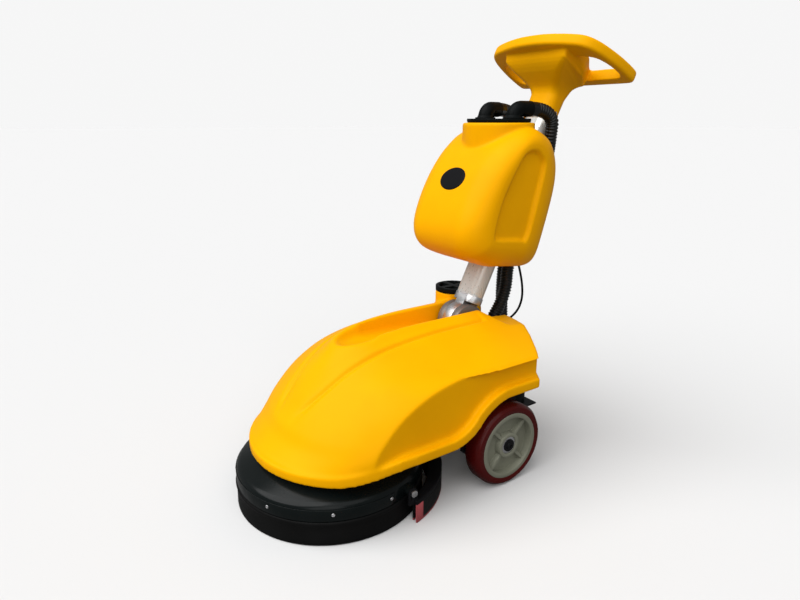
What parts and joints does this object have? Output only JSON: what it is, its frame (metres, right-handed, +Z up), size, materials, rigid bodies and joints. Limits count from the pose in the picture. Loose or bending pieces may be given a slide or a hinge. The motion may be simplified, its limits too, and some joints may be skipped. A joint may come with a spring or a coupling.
{
  "type": "walk-behind floor scrubber",
  "caption": "Compact walk-behind floor scrubber with a domed body on a round brush deck, rear wheels, a tilting column with recovery tank and a wheel-like handle.",
  "frame": {"origin": "on the floor, under the middle of the overall length and width", "axes": "+X forward to the brush deck, +Y to the machine's left, +Z up"},
  "size_m": [0.9692, 0.474, 1.0145],
  "materials": {
    "yellow_plastic": "satin moulded plastic",
    "black_plastic": "satin black plastic",
    "black_rubber": "soft black rubber",
    "black_steel": "black powder coat",
    "cast_metal": "cast, lightly polished",
    "grey_metal": "grey cast metal",
    "silver_tube": "brushed tube",
    "bright_steel": "zinc plated",
    "maroon_tread": "smooth polyurethane tread",
    "grey_hub": "warm grey nylon",
    "red_blade": "soft squeegee rubber",
    "brush_block": "moulded block",
    "bristle": "nylon bristles",
    "gauge_window": "dark window",
    "button_green": "glossy key",
    "button_black": "glossy key"
  },
  "bodies": {
    "base": {"chassis_frame": "black_steel", "solution_tank": "yellow_plastic", "brush_deck": "black_plastic", "deck_band": "black_rubber", "splash_skirt": "black_rubber", "brush_motor": "grey_metal", "gearbox": "black_plastic", "battery_pack": "black_plastic", "vacuum_motor": "black_plastic", "solution_valve": "black_plastic", "solution_pipe": "black_rubber", "wheel_axle": "bright_steel", "axle_spacers": "bright_steel", "axle_screws": "bright_steel", "column_bracket": "grey_metal", "pivot_bolt": "bright_steel", "suction_pipe": "black_plastic", "squeegee_bolts": "bright_steel", "control_cable": "black_rubber", "vacuum_hose_lower": "black_rubber", "suction_hose_lower": "black_rubber", "pickup_hose": "black_rubber"},
    "wheel_left": {"tyre_left": "maroon_tread", "hub_left": "grey_hub", "bearings_left": "bright_steel"},
    "wheel_right": {"tyre_right": "maroon_tread", "hub_right": "grey_hub", "bearings_right": "bright_steel"},
    "brush": {"brush_disc": "brush_block", "brush_bristles": "bristle", "brush_coupling": "brush_block"},
    "squeegee": {"squeegee_body": "black_steel", "front_blade": "red_blade", "rear_blade": "red_blade", "squeegee_nozzle": "black_plastic"},
    "column": {"column_knuckle": "cast_metal", "column_tube": "silver_tube", "tank_bracket": "silver_tube", "recovery_tank": "yellow_plastic", "hose_joiner": "black_plastic", "handle_frame": "yellow_plastic", "control_panel": "black_plastic", "battery_gauge": "gauge_window", "suction_hose_upper": "black_rubber", "vacuum_hose_upper": "black_rubber"},
    "lid": {"tank_lid": "black_plastic", "lid_gasket": "black_rubber", "lid_elbows": "black_plastic", "float_cage": "black_plastic"},
    "cap": {"filler_cap": "black_plastic"},
    "power_key": {"power_button": "button_green"},
    "brush_key": {"brush_button": "button_black"},
    "vacuum_key": {"vacuum_button": "button_black"}
  },
  "joints": [
    {"name": "wheel_left_spin", "type": "hinge", "parent": "base", "child": "wheel_left", "pos_m": [-0.072, 0.206, 0.1], "axis": [0, 1, 0], "continuous": true},
    {"name": "wheel_right_spin", "type": "hinge", "parent": "base", "child": "wheel_right", "pos_m": [-0.072, -0.206, 0.1], "axis": [0, 1, 0], "continuous": true},
    {"name": "brush_spin", "type": "hinge", "parent": "base", "child": "brush", "pos_m": [0.272, 0, 0.06], "axis": [0, 0, 1], "continuous": true},
    {"name": "squeegee_lift", "type": "hinge", "parent": "base", "child": "squeegee", "pos_m": [0.1947, 0, 0.072], "axis": [0, 1, 0], "range_deg": [0, 8], "deforming": ["pickup_hose"]},
    {"name": "column_tilt", "type": "hinge", "parent": "base", "child": "column", "pos_m": [-0.108, 0, 0.336], "axis": [0, 1, 0], "range_deg": [-20, 26.5], "deforming": ["vacuum_hose_lower", "suction_hose_lower", "control_cable"]},
    {"name": "recovery_lid_lift", "type": "slide", "parent": "column", "child": "lid", "axis": [0, 0, 1], "range_m": [0, 0.03], "deforming": ["suction_hose_upper", "vacuum_hose_upper"]},
    {"name": "filler_cap_lift", "type": "slide", "parent": "base", "child": "cap", "axis": [0, 0, 1], "range_m": [0, 0.04]},
    {"name": "power_button_press", "type": "slide", "parent": "column", "child": "power_key", "axis": [0.4462, 0, -0.8949], "range_m": [0, 0.002], "stiffness_N_per_m": 600},
    {"name": "brush_button_press", "type": "slide", "parent": "column", "child": "brush_key", "axis": [0.4462, 0, -0.8949], "range_m": [0, 0.002], "stiffness_N_per_m": 600},
    {"name": "vacuum_button_press", "type": "slide", "parent": "column", "child": "vacuum_key", "axis": [0.4462, 0, -0.8949], "range_m": [0, 0.002], "stiffness_N_per_m": 600}
  ]
}
